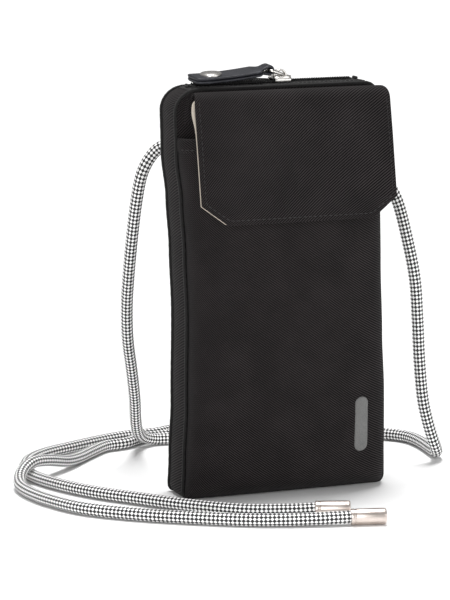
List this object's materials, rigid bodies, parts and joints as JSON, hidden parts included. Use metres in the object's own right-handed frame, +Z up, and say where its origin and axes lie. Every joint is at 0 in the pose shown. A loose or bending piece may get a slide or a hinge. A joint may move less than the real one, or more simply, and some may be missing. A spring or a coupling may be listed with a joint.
{
  "type": "neck pouch wallet",
  "caption": "Slim upright zipped fabric pouch with a front phone pocket, a snap flap, a leather zip pull and round braided neck cords with metal ends.",
  "frame": {"origin": "centre of the pouch's base, on the surface it stands on", "axes": "+Z up, -Y towards the front with the phone pocket and flap, +X to the right seen from the front"},
  "size_m": [0.226, 0.2302, 0.207],
  "materials": {
    "twill": "black polyester twill",
    "piping": "black seam binding",
    "lining": "dark grey thin lining",
    "flap_lining": "light beige flap lining",
    "foam": "grey foam and board",
    "tape": "black zip tape",
    "coil": "black nylon zip coil",
    "metal": "satin silver metal",
    "cap_metal": "polished pale champagne metal",
    "leather": "blue-black smooth leather",
    "braid": "black and white braided cord",
    "patch": "plain grey rubber bar"
  },
  "bodies": {
    "pouch": {"gusset": "twill", "middle_panel": "twill", "back_panel": "twill", "front_piping": "piping", "back_piping": "piping", "pocket_panel": "twill", "pocket_hem": "twill", "pocket_lining": "lining", "front_patch": "patch", "snap_socket": "metal", "compartment_lining": "lining", "card_slots": "lining", "back_padding": "foam", "base_board": "foam", "flap_hinge_tape": "piping", "zip_tape_front": "tape", "zip_tape_back": "tape", "zip_teeth_front": "coil", "zip_teeth_back": "coil", "zip_end_stops": "metal", "eyelet_left": "metal", "eyelet_right": "metal", "cord_knot_left": "braid", "cord_knot_right": "braid", "cord_left": "braid", "cord_right": "braid", "cord_cap_left": "cap_metal", "cord_cap_right": "cap_metal"},
    "flap": {"flap_shell": "twill", "flap_board": "foam", "flap_lining": "flap_lining", "snap_stud": "metal"},
    "slider": {"slider_body": "metal", "slider_bridge": "metal"},
    "ring": {"pull_ring": "metal"},
    "strap": {"pull_leather": "leather", "rivet_cap": "metal", "rivet_back": "metal"}
  },
  "joints": [
    {"name": "flap_hinge", "type": "hinge", "parent": "pouch", "child": "flap", "pos_m": [0, -0.0156, 0.192], "axis": [-1, 0, 0], "range_deg": [0, 160]},
    {"name": "zip_slide", "type": "slide", "parent": "pouch", "child": "slider", "axis": [1, 0, 0], "range_m": [-0.036, 0.032]},
    {"name": "ring_hinge", "type": "hinge", "parent": "slider", "child": "ring", "pos_m": [0.004, 0.0015, 0.202], "axis": [-0.1125, 0.9872, 0.1132], "range_deg": [0, 120]},
    {"name": "strap_hinge", "type": "hinge", "parent": "ring", "child": "strap", "pos_m": [-0.00259, 0.0005, 0.20415], "axis": [-0.1125, 0.9872, 0.1132], "range_deg": [0, 40]}
  ]
}
